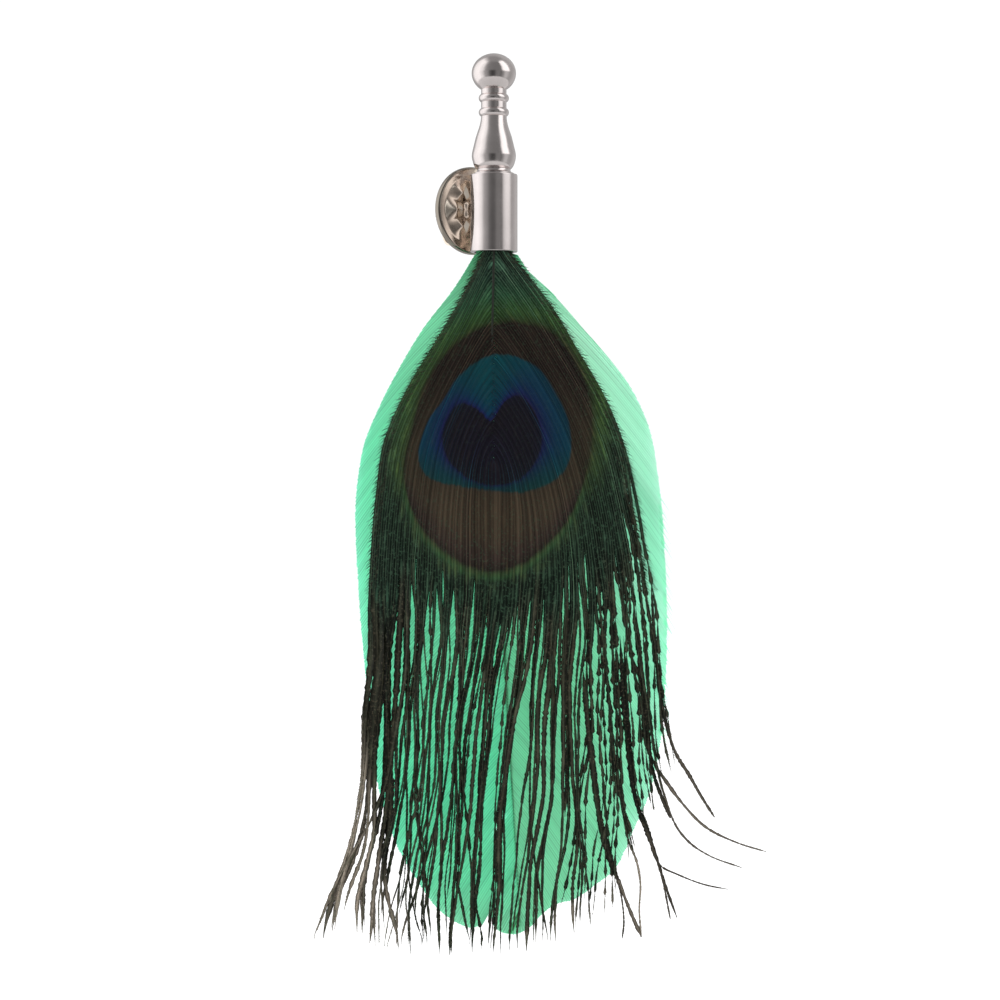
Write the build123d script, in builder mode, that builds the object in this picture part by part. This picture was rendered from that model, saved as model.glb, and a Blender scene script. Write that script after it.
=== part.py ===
from build123d import *
from collections import namedtuple
from math import acos, asin, cos, degrees, pi, radians, sin, sqrt, tan
import os

# Feather lapel pin. Millimetres, +Z up, seen from -Y.
# The origin is where the post leaves the back of the ferrule, which is where the pin goes on.
# The feathers hang down from the ferrule, in front of the cloth.

# Ferrule, the tube that grips the feathers
ferrule_diameter = 6.15
ferrule_length = 10.1
ferrule_wall = 0.5
ferrule_cap = 0.8
ferrule_edge = 0.14

# Finial, the turned knob on top of the ferrule
ball_diameter = 5.78
ball_height = 5.15
belly_diameter = 5.75
collar_diameter = 5.2
bead_diameter = 3.95
neck_diameter = 3.3
collar_height = 0.65
collar_edge = 0.18
baluster_height = 6.9
bead_height = 1.05
bead_gap = 0.8
ball_neck = 0.6
stud_diameter = 1.8
stud_clearance = 0.03

# Post, soldered to the back of the ferrule and turned to the left of straight back
post_turn = 37
post_drop = 4.35
post_diameter = 1.05
post_length = 10.0
post_point = 1.3
post_groove = 0.12
groove_width = 0.6

# Clutch, the spring fastener that slides on the post
clutch_diameter = 11.5
clutch_metal = 0.3
clutch_gap = 1.2
clutch_dome = 0.35
dome_diameter = 7.6
boss_diameter = 2.8
fold_width = 0.9
plate_clearance = 0.04
post_clearance = 0.06
wing_metal = 0.3
wing_width = 4.2
wing_height = 3.3
wing_span = 9.0
wing_gap = 2.4

# Both feathers lie on nested curved sheets: cupped across and bowed along
cup_radius = 90.0
bow_radius = 640.0
seat_depth = 5.0
seat_clearance = 0.15
feather_gap = 0.25

# Peacock feather, in front
peacock_thickness = 0.5
peacock_front = 0.9
peacock_rib = 0.25
peacock_stem = 0.9
vane_drop = 46.5
vane_left = 16.4
vane_right = 21.0
fringe_drop = 90.6
fringe_left = 21.0
fringe_right = 23.4
lock_count = 34
lock_root = 1.25
lock_tip = 0.35
lock_sway = 0.6
bend_pace = 5
tip_pace = 3
curl_reach = 35.0

# Dyed goose feather, behind
green_thickness = 0.4
green_rib = 0.4
green_stem = 1.2
green_drop = 89.6
green_left = 17.7
green_right = 22.5

ferrule_radius = ferrule_diameter / 2
bore_radius = ferrule_radius - ferrule_wall
post_radius = post_diameter / 2
mouth = post_drop - ferrule_length
pin_way = Vector(-sin(radians(post_turn)), cos(radians(post_turn)), 0)
axle = pin_way * -ferrule_radius
stud_radius = stud_diameter / 2

Edge = namedtuple("Edge", "down out")
Turn = namedtuple("Turn", "up out")
Curl = namedtuple("Curl", "root_out bend_down bend_out tip_down tip_out")

# The baluster's outline: up as a share of its height, out as a share of the belly
baluster = (
    Turn(0.00, 0.75),
    Turn(0.07, 0.89),
    Turn(0.15, 0.96),
    Turn(0.26, 1.00),
    Turn(0.40, 0.94),
    Turn(0.63, 0.80),
    Turn(0.85, 0.63),
    Turn(1.00, 0.58),
)

# Edges of the peacock vane: down as a share of vane_drop, out as a share of that side's width
vane_left_edge = (
    Edge(0.08, 0.18),
    Edge(0.18, 0.34),
    Edge(0.33, 0.60),
    Edge(0.48, 0.81),
    Edge(0.61, 0.91),
    Edge(0.80, 0.97),
    Edge(1.00, 1.00),
)
vane_right_edge = (
    Edge(0.06, 0.21),
    Edge(0.14, 0.34),
    Edge(0.27, 0.51),
    Edge(0.45, 0.75),
    Edge(0.59, 0.85),
    Edge(0.82, 0.95),
    Edge(1.00, 1.00),
)

# Edges of the green vane: down as a share of green_drop, out as a share of that side's width
green_left_edge = (
    Edge(0.045, 0.27),
    Edge(0.115, 0.53),
    Edge(0.225, 0.84),
    Edge(0.310, 0.99),
    Edge(0.500, 0.98),
    Edge(0.660, 0.95),
    Edge(0.820, 0.80),
    Edge(0.920, 0.55),
    Edge(0.980, 0.24),
)
green_right_edge = (
    Edge(0.035, 0.24),
    Edge(0.120, 0.56),
    Edge(0.210, 0.84),
    Edge(0.310, 0.95),
    Edge(0.480, 1.00),
    Edge(0.640, 0.99),
    Edge(0.790, 0.90),
    Edge(0.900, 0.73),
    Edge(0.965, 0.36),
)
split_top = Edge(0.955, -0.02)
split_left = Edge(0.985, -0.10)
split_right = Edge(1.000, 0.12)

# How far down each lock of the fringe reaches, over and over, as a share of fringe_drop
lock_reach = (0.985, 0.96, 1.0, 0.975, 0.93, 0.99, 0.965, 0.995, 0.945)

# Strands that curl out at the right: each root as a share of vane_right, then down as a share of
# fringe_drop and out as a share of curl_reach
curls = (
    Curl(0.99, 0.724, 0.687, 0.810, 0.810),
    Curl(0.96, 0.786, 0.683, 0.860, 1.000),
    Curl(0.93, 0.839, 0.700, 0.883, 0.906),
    Curl(0.90, 0.892, 0.646, 0.915, 0.847),
)


def sideways(run):
    """The unit vector to the left of a run on the page."""
    return Vector(-run.Y, run.X).normalized()


def strand(path, root, tip):
    """A tapered strip along a path, on the sketch that is being drawn."""
    runs = [path[i + 1] - path[i] for i in range(len(path) - 1)]
    left, right = [], []
    for i, point in enumerate(path):
        across = sideways(runs[min(i, len(runs) - 1)])
        half = (root + (tip - root) * i / (len(path) - 1)) / 2
        left.append(point + across * half)
        right.append(point - across * half)
    with BuildLine() as outline:
        Polyline(*left, *reversed(right), close=True)
    make_face(outline.edges())


def seat_half_width(front, back):
    """Half the width that a flat piece between these depths may have inside the ferrule's bore."""
    furthest = max(abs(front), abs(back))
    return sqrt((bore_radius - seat_clearance) ** 2 - furthest**2)


def bowed_sheet(front, back, drop):
    """Keeps what lies on the curved sheet between two depths, measured back from the ferrule's axis."""
    sheet = Plane(origin=axle + Vector(0, cup_radius, 0), x_dir=(0, 1, 0), z_dir=(1, 0, 0))
    turn = degrees(asin((drop + lock_root) / bow_radius))
    centre = (cup_radius - bow_radius, mouth)
    with BuildSketch(sheet) as profile:
        with BuildLine():
            outer = CenterArc(centre, bow_radius - front, 0, -turn)
            inner = CenterArc(centre, bow_radius - back, 0, -turn)
            Line(outer @ 1, inner @ 1)
            top_front = (cup_radius - front, mouth + seat_depth)
            top_back = (cup_radius - back, mouth + seat_depth)
            Polyline(outer @ 0, top_front, top_back, inner @ 0)
        make_face()
    hinge = Axis((axle.X, axle.Y + cup_radius, 0), (0, 0, 1))
    revolve(profile.sketch, axis=hinge, mode=Mode.INTERSECT)


page = Plane(origin=axle, x_dir=(1, 0, 0), z_dir=(0, -1, 0))
page_depth = cup_radius / 4


def at(down, out):
    """A point on the page, down from the ferrule's mouth and out from its axis."""
    return Vector(out, mouth - down)


def side(edges, drop, width):
    """The points of one edge of a vane."""
    return [at(edge.down * drop, edge.out * width) for edge in edges]


def stem(width, tip, drop):
    """A feather's shaft on the page: as wide as its quill at the top, thin at its end."""
    with BuildLine() as outline:
        Polyline(
            at(-seat_depth, -width / 2),
            at(-seat_depth, width / 2),
            at(drop, tip / 2),
            at(drop, -tip / 2),
            close=True,
        )
    make_face(outline.edges())


# Finial: flared collar, baluster, two beads and a slightly flat ball, on a stud in the ferrule's cap
baluster_foot = post_drop + collar_height
bead_foot = baluster_foot + baluster_height
upper_bead_foot = bead_foot + bead_height + bead_gap
ball_foot = upper_bead_foot + bead_height + ball_neck
collar_radius = collar_diameter / 2
waist_radius = baluster[0].out * belly_diameter / 2
neck_radius = neck_diameter / 2
ball_radius = ball_diameter / 2
ball_start = -acos(neck_radius / ball_radius)
ball_centre = ball_foot - ball_height / 2 * sin(ball_start)


def on_ball(angle, ahead=0):
    """A point of the ball's oval outline, or one ahead of it on its tangent."""
    across = cos(angle) - ahead * sin(angle)
    up = sin(angle) + ahead * cos(angle)
    return (ball_radius * across, ball_centre + ball_height / 2 * up)


with BuildPart() as finial:
    with BuildSketch(page):
        with BuildLine():
            foot = Polyline(
                (0, post_drop - ferrule_cap),
                (stud_radius, post_drop - ferrule_cap),
                (stud_radius, post_drop),
                (collar_radius, post_drop),
                (collar_radius, post_drop + collar_edge),
            )
            EllipticalCenterArc(
                (collar_radius, baluster_foot),
                collar_radius - waist_radius,
                collar_height - collar_edge,
                start_angle=180,
                arc_size=90,
            )
            body = Spline(
                *[
                    (row.out * belly_diameter / 2, baluster_foot + row.up * baluster_height)
                    for row in baluster
                ]
            )
            Line(body @ 1, (neck_radius, bead_foot))
            for start in (bead_foot, upper_bead_foot):
                ThreePointArc(
                    (neck_radius, start),
                    (bead_diameter / 2, start + bead_height / 2),
                    (neck_radius, start + bead_height),
                )
            Line((neck_radius, bead_foot + bead_height), (neck_radius, upper_bead_foot))
            Line((neck_radius, upper_bead_foot + bead_height), (neck_radius, ball_foot))
            for start, end in ((ball_start, 0), (0, pi / 2)):
                reach = 4 / 3 * tan((end - start) / 4)
                ball = Bezier(on_ball(start), on_ball(start, reach), on_ball(end, -reach), on_ball(end))
            Line(ball @ 1, foot @ 0)
        make_face()
    revolve(axis=Axis(axle, (0, 0, 1)))

# Ferrule: a tube closed at the top, with the post soldered to its back
shank = post_length - post_point
post_section = Plane(origin=(0, 0, 0), x_dir=(0, 0, 1), z_dir=(-pin_way.Y, pin_way.X, 0))
slide = Axis((0, 0, 0), pin_way)

with BuildPart() as ferrule:
    with BuildSketch(Plane(origin=axle + Vector(0, 0, mouth))):
        Circle(ferrule_radius)
    extrude(amount=ferrule_length)
    rims = ferrule.edges().filter_by(GeomType.CIRCLE)
    fillet(rims, ferrule_edge)
    with BuildSketch(Plane(origin=axle + Vector(0, 0, mouth))):
        Circle(bore_radius)
    extrude(amount=ferrule_length - ferrule_cap, mode=Mode.SUBTRACT)
    with BuildSketch(Plane(origin=axle + Vector(0, 0, post_drop))):
        Circle(stud_radius + stud_clearance)
    extrude(amount=-ferrule_cap, mode=Mode.SUBTRACT)
    with BuildSketch(post_section):
        with BuildLine():
            Polyline(
                (0, -ferrule_wall / 2),
                (post_radius, -ferrule_wall / 2),
                (post_radius, shank - groove_width),
                (post_radius - post_groove, shank - groove_width / 2),
                (post_radius, shank),
                (0, post_length),
                close=True,
            )
        make_face()
    revolve(axis=slide)

# Clutch cup: a pressed disc with a domed face and its rim folded over the spring plate
cup_radius_out = clutch_diameter / 2
plate_room = wing_metal + 2 * plate_clearance
cup_height = 2 * clutch_metal + plate_room
hole_radius = post_radius + post_clearance
cup_plane = Plane(origin=pin_way * clutch_gap, x_dir=(0, 0, 1), z_dir=pin_way)
cup_section = Plane(origin=pin_way * clutch_gap, x_dir=(0, 0, 1), z_dir=post_section.z_dir)

with BuildPart() as clutch_cup:
    with BuildSketch(cup_section):
        with BuildLine():
            Polyline(
                (hole_radius, -clutch_dome),
                (boss_diameter / 2, -clutch_dome),
                (dome_diameter / 2, 0),
                (cup_radius_out - clutch_metal / 2, 0),
                (cup_radius_out, clutch_metal / 2),
                (cup_radius_out, cup_height - clutch_metal / 2),
                (cup_radius_out - clutch_metal / 2, cup_height),
                (cup_radius_out - fold_width, cup_height),
                (cup_radius_out - fold_width, cup_height - clutch_metal),
                (cup_radius_out - clutch_metal, cup_height - clutch_metal),
                (cup_radius_out - clutch_metal, clutch_metal),
                (dome_diameter / 2, clutch_metal),
                (boss_diameter / 2, clutch_metal - clutch_dome),
                (hole_radius, clutch_metal - clutch_dome),
                close=True,
            )
        make_face()
    revolve(axis=slide)

# Clutch wings: a round spring plate held under the fold, with two ears curled up from it
plate_start = clutch_metal + plate_clearance
plate_middle = plate_start + wing_metal / 2
plate_radius = cup_radius_out - clutch_metal - 2 * plate_clearance
ear_top = cup_height + wing_height - wing_metal / 2
ear_end = wing_span / 2 - wing_metal / 2
ear_foot = wing_gap / 2 + wing_metal / 2
ear_crown = (ear_foot + ear_end) / 2
ear_shoulder = cup_height + wing_height / 2

with BuildPart() as clutch_wings:
    with BuildSketch(cup_plane.offset(plate_start)):
        Circle(plate_radius)
    extrude(amount=wing_metal)
    with BuildSketch(cup_section):
        with BuildLine() as ear:
            Line((ear_foot, plate_middle), (ear_foot, ear_shoulder))
            crown = ThreePointArc((ear_foot, ear_shoulder), (ear_crown, ear_top), (ear_end, ear_shoulder))
            Line(crown @ 1, (ear_end, cup_height + wing_metal))
        trace(ear.line, wing_metal)
    extrude(amount=wing_width / 2, both=True)
    mirror(about=Plane(origin=(0, 0, 0), z_dir=(0, 0, 1)))
    with BuildSketch(cup_plane):
        Circle(hole_radius)
    extrude(amount=cup_height + wing_height, mode=Mode.SUBTRACT)

# Peacock feather: vane and fringe in one sheet, with its shaft along the back
peacock_back = peacock_thickness - peacock_front
peacock_half = seat_half_width(peacock_front, peacock_back)

with BuildPart() as peacock_shaft:
    with BuildSketch(page):
        stem(peacock_stem, lock_tip, vane_drop)
    extrude(amount=page_depth, both=True)
    bowed_sheet(-peacock_front, peacock_back + peacock_rib, vane_drop)

with BuildPart() as peacock_feather:
    with BuildSketch(page):
        with BuildLine():
            left_points = side(vane_left_edge, vane_drop, -vane_left)
            right_points = side(vane_right_edge, vane_drop, vane_right)
            left_side = Spline(at(0, -peacock_half), *left_points)
            right_side = Spline(at(0, peacock_half), *right_points)
            Polyline(
                left_side @ 0,
                at(-seat_depth, -peacock_half),
                at(-seat_depth, peacock_half),
                right_side @ 0,
            )
            Line(left_side @ 1, right_side @ 1)
        make_face()
        for i in range(lock_count):
            share = (i + 0.5) / lock_count
            reach = lock_reach[i % len(lock_reach)]
            root_out = -vane_left + (vane_left + vane_right) * share
            tip_out = -fringe_left + (fringe_left + fringe_right) * share
            bend = (root_out + tip_out) / 2 + lock_sway * sin(bend_pace * i)
            tip = tip_out + lock_sway * sin(tip_pace * i)
            strand(
                [
                    at(vane_drop - lock_root, root_out),
                    at((vane_drop + fringe_drop) / 2, bend),
                    at(reach * fringe_drop, tip),
                ],
                lock_root,
                lock_tip,
            )
        for curl in curls:
            strand(
                [
                    at(vane_drop - lock_root, curl.root_out * vane_right),
                    at(curl.bend_down * fringe_drop, curl.bend_out * curl_reach),
                    at(curl.tip_down * fringe_drop, curl.tip_out * curl_reach),
                ],
                lock_root,
                lock_tip,
            )
    extrude(amount=page_depth, both=True)
    bowed_sheet(-peacock_front, peacock_back, fringe_drop)
    add(peacock_shaft.part)

# Green feather: one broad vane with a split tip, with its shaft along the back
green_front = peacock_back + peacock_rib + feather_gap
green_back = green_front + green_thickness
green_half = seat_half_width(green_front, green_back + green_rib)

with BuildPart() as green_shaft:
    with BuildSketch(page):
        stem(green_stem, lock_tip, split_top.down * green_drop)
    extrude(amount=page_depth, both=True)
    bowed_sheet(green_front, green_back + green_rib, split_top.down * green_drop)

with BuildPart() as green_feather:
    with BuildSketch(page):
        with BuildLine():
            left_points = side(green_left_edge, green_drop, -green_left)
            right_points = side(green_right_edge, green_drop, green_right)
            left_side = Spline(at(0, -green_half), *left_points)
            right_side = Spline(at(0, green_half), *right_points)
            Polyline(
                left_side @ 0,
                at(-seat_depth, -green_half),
                at(-seat_depth, green_half),
                right_side @ 0,
            )
            Polyline(
                left_side @ 1,
                *side((split_left, split_top, split_right), green_drop, green_right),
                right_side @ 1,
            )
        make_face()
    extrude(amount=page_depth, both=True)
    bowed_sheet(green_front, green_back, green_drop)
    add(green_shaft.part)

finial.part.label = "finial"
ferrule.part.label = "ferrule"
clutch_cup.part.label = "clutch_cup"
clutch_wings.part.label = "clutch_wings"
peacock_feather.part.label = "peacock_feather"
green_feather.part.label = "green_feather"

os.makedirs("parts", exist_ok=True)
export_step(finial.part, "parts/finial.step")
export_step(ferrule.part, "parts/ferrule.step")
export_step(clutch_cup.part, "parts/clutch_cup.step")
export_step(clutch_wings.part, "parts/clutch_wings.step")
export_step(peacock_feather.part, "parts/peacock_feather.step")
export_step(green_feather.part, "parts/green_feather.step")
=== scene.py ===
# %% [markdown]
# # A feather lapel pin
#
# The real pin is a peacock eye feather in front of a broad dyed goose feather. Both quills are
# glued into a polished tube with a turned knob on top, and a post with a butterfly clutch is
# soldered to the tube's back. The solids are already in place and at their real size, in metres.
# This notebook gives each of them the shape and finish that the eye sees, and moves none of them.

# %% Load the solids
import math

import bmesh
import bpy
import numpy as np
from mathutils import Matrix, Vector


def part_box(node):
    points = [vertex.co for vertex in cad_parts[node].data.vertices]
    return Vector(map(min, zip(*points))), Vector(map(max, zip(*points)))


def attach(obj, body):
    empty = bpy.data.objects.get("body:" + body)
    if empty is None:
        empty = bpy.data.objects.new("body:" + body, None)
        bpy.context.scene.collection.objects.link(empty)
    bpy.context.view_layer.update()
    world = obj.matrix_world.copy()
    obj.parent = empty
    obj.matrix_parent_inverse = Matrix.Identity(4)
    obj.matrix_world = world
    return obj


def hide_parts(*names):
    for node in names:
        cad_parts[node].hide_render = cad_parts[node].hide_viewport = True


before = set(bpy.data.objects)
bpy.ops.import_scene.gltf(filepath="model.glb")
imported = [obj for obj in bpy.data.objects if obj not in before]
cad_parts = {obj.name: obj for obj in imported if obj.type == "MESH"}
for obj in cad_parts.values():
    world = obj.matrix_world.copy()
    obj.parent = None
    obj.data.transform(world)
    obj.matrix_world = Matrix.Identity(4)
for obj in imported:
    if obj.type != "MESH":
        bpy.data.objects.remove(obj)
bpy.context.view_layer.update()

# %% [markdown]
# ## Where things are
#
# Feathers are easiest to draw flat. Everything on them is given here as three lengths in
# millimetres: how far out from the ferrule's axis, how far down from its mouth, and how deep
# behind the axis. `lay` then bends that flat page onto the curved sheets that the solids use:
# cupped across, and bowed backwards along their length. One place to bend means that shaft,
# barbs and fringe all follow the same curve.

# %% Measure the frame and bend a page
MM = 0.001
finial_low, finial_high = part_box("finial")
axis_x = (finial_low[0] + finial_high[0]) / 2 / MM
axis_y = (finial_low[1] + finial_high[1]) / 2 / MM
mouth_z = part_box("ferrule")[0][2] / MM
cup_radius = 90.0
bow_radius = 640.0
bore_radius = 2.575
print(f"axis at {axis_x:.2f}, {axis_y:.2f} mm, mouth at {mouth_z:.2f} mm")


def lay(out, down, depth):
    """Metres in the frame, for millimetres on the feathers' flat page."""
    below = np.maximum(down, 0)
    reach = cup_radius - bow_radius + np.sqrt((bow_radius - depth) ** 2 - below**2)
    y = axis_y + cup_radius - np.sqrt(reach**2 - out**2)
    return np.stack([axis_x + out, y, mouth_z - down], axis=-1) * MM


# %% [markdown]
# ## Camera
#
# The pin is seen square from the front, upright, so the camera looks along +Y with no tilt. A
# long lens keeps the ball and the fringe at one scale. The frame is as wide as the photograph
# is at the pin's own scale.

# %% Place the camera
def add_object(name, data):
    """An object for a camera, a lamp or a mesh, put into the scene."""
    made = bpy.data.objects.new(name, data)
    bpy.context.scene.collection.objects.link(made)
    return made


view_width = 130.0
view_out = 0.8
view_down = 32.2
lens = 100.0
sensor = 36.0
camera_data = bpy.data.cameras.new("camera")
camera_data.lens = lens
camera_data.sensor_width = sensor
camera = add_object("camera", camera_data)
camera_distance = view_width * lens / sensor
camera.location = Vector((axis_x + view_out, axis_y - camera_distance, mouth_z - view_down)) * MM
camera.rotation_euler = (math.radians(90), 0, 0)
camera_data.clip_start = 0.01
bpy.context.scene.camera = camera
bpy.context.scene.view_settings.view_transform = "Standard"
print(f"camera {camera_distance:.0f} mm in front")

# %% [markdown]
# ## Helpers for nodes
#
# A material or a room is a tree of nodes, small boxes wired together. Written out in full, each
# box and each wire takes a line, and the idea gets lost. These helpers make one box and its
# wires at a time and hand on the socket where its result comes out, so a finish reads like a
# recipe: this colour, times that one, by this share.

# %% Helpers for node trees and colours
def paint(red, green, blue):
    """A colour given as 0 to 255 on screen, as the linear numbers that shaders use."""
    shown = np.array([red, green, blue]) / 255
    linear = np.where(shown <= 0.04045, shown / 12.92, ((shown + 0.055) / 1.055) ** 2.4)
    return (*[float(value) for value in linear], 1)


def grey(level):
    return (level, level, level, 1)


def node(tree, kind, *inputs, **settings):
    """A new node. Each input is a value, an output to link, or None to leave it alone."""
    made = tree.nodes.new("ShaderNode" + kind)
    for name, value in settings.items():
        setattr(made, name, value)
    for place, value in enumerate(inputs):
        if isinstance(value, bpy.types.NodeSocket):
            tree.links.new(value, made.inputs[place])
        elif value is not None:
            made.inputs[place].default_value = value
    return made


def ramp(tree, source, stops):
    """The colour that an output's value picks from (place, colour) stops."""
    made = node(tree, "ValToRGB", source)
    bar = made.color_ramp
    bar.elements.remove(bar.elements[0])
    bar.elements[0].position, bar.elements[0].color = stops[0]
    for place, colour in stops[1:]:
        bar.elements.new(place).color = colour
    return made.outputs[0]


def painted(tree, source, rows):
    """The same from (place, red, green, blue) rows, as 0 to 255 on screen."""
    return ramp(tree, source, [(place, paint(*colour)) for place, *colour in rows])


def greys(tree, source, rows):
    """The same from (place, level) rows."""
    return ramp(tree, source, [(place, grey(level)) for place, level in rows])


def times(tree, first, second):
    return node(tree, "Math", first, second, operation="MULTIPLY").outputs[0]


def stretched(tree, source, low, high, to_low=0, to_high=1):
    """A value between low and high, mapped onto another range and held inside it."""
    return node(tree, "MapRange", source, low, high, to_low, to_high).outputs[0]


def noise(tree, place, scale, detail):
    return node(tree, "TexNoise", place, None, scale, detail).outputs[0]


def blend_colours(tree, share, first, second, mode="MIX"):
    made = node(tree, "Mix", share, data_type="RGBA", blend_type=mode)
    tree.links.new(first, made.inputs["A"])
    tree.links.new(second, made.inputs["B"])
    return made.outputs["Result"]


def blend_shaders(tree, share, first, second):
    return node(tree, "MixShader", share, first, second).outputs[0]


def new_material(name, roughness, specular=0.5):
    """A material, its node tree and the inputs of its main shader."""
    made = bpy.data.materials.new(name)
    made.use_nodes = True
    face = made.node_tree.nodes["Principled BSDF"].inputs
    face["Roughness"].default_value = roughness
    face["Specular IOR Level"].default_value = specular
    return made, made.node_tree, face


# %% [markdown]
# ## Light
#
# A dyed feather glows because light comes through it from behind, and polished metal looks like
# metal only where it mirrors something dark. So the room is bright behind the pin and dim in
# front of it, a tall soft box stands at the left, and a narrower one at the right. The
# background that the camera itself sees is plain white.

# %% The room
world = bpy.data.worlds.new("studio")
bpy.context.scene.world = world
world.use_nodes = True
room = world.node_tree
room.nodes.clear()
direction = node(room, "TexCoord").outputs["Generated"]
to_right, to_back, to_top = node(room, "SeparateXYZ", direction).outputs

# What lights the feathers: bright behind, dim in front.
behind = stretched(room, to_back, -1, 1)
walls = greys(room, behind, [(0, 0.09), (0.35, 0.14), (0.5, 0.45), (0.62, 0.95), (1, 1)])

# What the metal mirrors, by the angle round the pin: 0 in front, 90 at the right.
turn = node(room, "Math", to_right, times(room, to_back, -1), operation="ARCTAN2")
around_pin = stretched(room, turn.outputs[0], -math.pi, math.pi)
mirrored = [
    (-180, 0.45), (-150, 0.42), (-138, 0.55), (-124, 1.15), (-84, 1.25), (-64, 0.95), (-50, 0.42), (-32, 0.3),
    (-22, 0.13), (-8, 0.06), (4, 0.08), (14, 0.2), (30, 0.22), (40, 0.16), (52, 0.34), (62, 0.56),
    (74, 0.6), (88, 0.42), (102, 0.4), (120, 0.5), (140, 0.58), (160, 0.45), (180, 0.45),
]
mirrored_high = [
    (-180, 0.45), (-150, 0.42), (-138, 0.55), (-124, 1.1), (-84, 1.3), (-60, 1), (-48, 0.5), (-36, 0.28),
    (-20, 0.22), (0, 0.2), (24, 0.2), (40, 0.22), (60, 0.4), (90, 0.5), (110, 0.42), (150, 0.5), (180, 0.45),
]
sides_low, sides_high = [
    greys(room, around_pin, [((angle + 180) / 360, level) for angle, level in rows])
    for rows in (mirrored, mirrored_high)
]
height = stretched(room, to_top, -1, 1)
rising = greys(room, height, [(0.52, 0), (0.62, 1)])
sides = blend_colours(room, rising, sides_low, sides_high)
ends = greys(room, height, [(0, 0.6), (0.15, 0.66), (0.23, 0.72), (0.26, 0.26), (0.5, 0.2), (1, 0.3)])
level_part = greys(room, height, [(0.23, 0), (0.27, 1), (0.92, 1), (0.985, 0)])
mirror = blend_colours(room, level_part, ends, sides)

# A lamp stands high at the right: the ball and the baluster mirror it, the upright tube hardly does.
lamp_turn = greys(room, around_pin, [(0.61, 0), (0.64, 1), (0.73, 1), (0.76, 0)])
lamp_height = greys(room, height, [(0.53, 0), (0.59, 1), (0.93, 1), (0.97, 0)])
lamp_glow = blend_colours(room, 1, lamp_turn, lamp_height, "MULTIPLY")
mirror = blend_colours(room, 1, mirror, lamp_glow, "ADD")

# Feathers see the walls, metal sees the mirrored room, and the camera sees white.
lit, shine, white = [
    node(room, "Background", colour, strength).outputs[0]
    for colour, strength in ((walls, 1), (mirror, 1), (grey(1), 1.05))
]
seen = node(room, "LightPath").outputs
around = blend_shaders(room, seen["Is Glossy Ray"], lit, shine)
node(room, "OutputWorld", blend_shaders(room, seen["Is Camera Ray"], around, white))


# %% [markdown]
# Two area lamps stand for the soft boxes. They light the barbs from both sides and give the
# strands their shape. They are hidden from the mirror rays, since the room's own bands already
# give the metal what it mirrors.

# %% Soft boxes
def soft_box(name, angle, height, distance, wide, tall, power):
    """A lamp round the pin: angle 0 is in front, positive to the right. Lengths in metres."""
    data = bpy.data.lights.new(name, "AREA")
    data.shape = "RECTANGLE"
    data.size = wide
    data.size_y = tall
    data.energy = power
    lamp = add_object(name, data)
    turn = math.radians(angle)
    target = Vector((0, 0, -0.03))
    lamp.location = Vector((math.sin(turn) * distance, -math.cos(turn) * distance, height))
    lamp.rotation_euler = (target - lamp.location).to_track_quat("-Z", "Y").to_euler()
    lamp.visible_camera = False
    lamp.visible_glossy = False


soft_box("soft_box_left", -80, 0.15, 0.8, 0.9, 1.2, 9)
soft_box("soft_box_right", 55, 0.15, 0.8, 0.5, 0.9, 3)
print("lamps:", sorted(lamp.name for lamp in bpy.data.lights))

# %% [markdown]
# ## Floor
#
# The pin hangs, so the floor is only a pale sweep some way below it. It gives a little light of
# its own, so that it melts into the white background as an overexposed paper sweep does, and
# the ball mirrors it as a pale table.

# %% Lay the floor
floor_drop = 0.2
floor_half = 3.0
corners = [(x * floor_half, y * floor_half, -floor_drop) for x, y in ((-1, -1), (1, -1), (1, 1), (-1, 1))]
floor_mesh = bpy.data.meshes.new("floor")
floor_mesh.from_pydata(corners, [], [(0, 1, 2, 3)])
floor = add_object("floor", floor_mesh)
paper, _, paper_face = new_material("paper_sweep", 0.9)
paper_face["Base Color"].default_value = grey(0.8)
paper_face["Emission Color"].default_value = grey(1)
paper_face["Emission Strength"].default_value = 0.75
floor_mesh.materials.append(paper)
floor.visible_glossy = False


# %% [markdown]
# ## Strands
#
# A feather is hundreds of thin barbs. A flat plane with a picture of barbs would not break up
# at its edges, let light through its gaps or hang in loose strands, so each barb is made here
# as a slim closed prism with a ridge along its front. `strands` makes many at once from arrays:
# the path of each on the page, its width, its ridge and how far it is twisted. Numbers that the
# materials need, such as a barb's place along its length, are kept on its points.

# %% Even steps and smooth curves
def rise(value, start, length):
    """0 up to start, 1 from start + length on and an even rise between."""
    held = np.clip((value - start) / length, 0, 1)
    return held * held * (3 - 2 * held)


def through(rows):
    """A smooth curve through (place, value) rows, as a function of the place."""
    places, values = np.array(rows, dtype=float).T
    slopes = np.gradient(values, places)

    def curve(place):
        held = np.clip(place, places[0], places[-1])
        i = np.clip(np.searchsorted(places, held) - 1, 0, len(places) - 2)
        run = places[i + 1] - places[i]
        t = (held - places[i]) / run
        start = (2 * t**3 - 3 * t**2 + 1) * values[i] + (t**3 - 2 * t**2 + t) * run * slopes[i]
        end = (3 * t**2 - 2 * t**3) * values[i + 1] + (t**3 - t**2) * run * slopes[i + 1]
        return start + end

    return curve


def unit(vectors):
    return vectors / np.maximum(np.linalg.norm(vectors, axis=-1, keepdims=True), 1e-9)


# %% [markdown]
# A mesh in Blender is a list of points and a list of faces that name them by number. The faces
# are turned to look outwards, and shading is smooth except over sharp edges. Any fact about a
# point, such as how far out on the feather it lies, can be stored with it as an attribute and
# read by a material.

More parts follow.
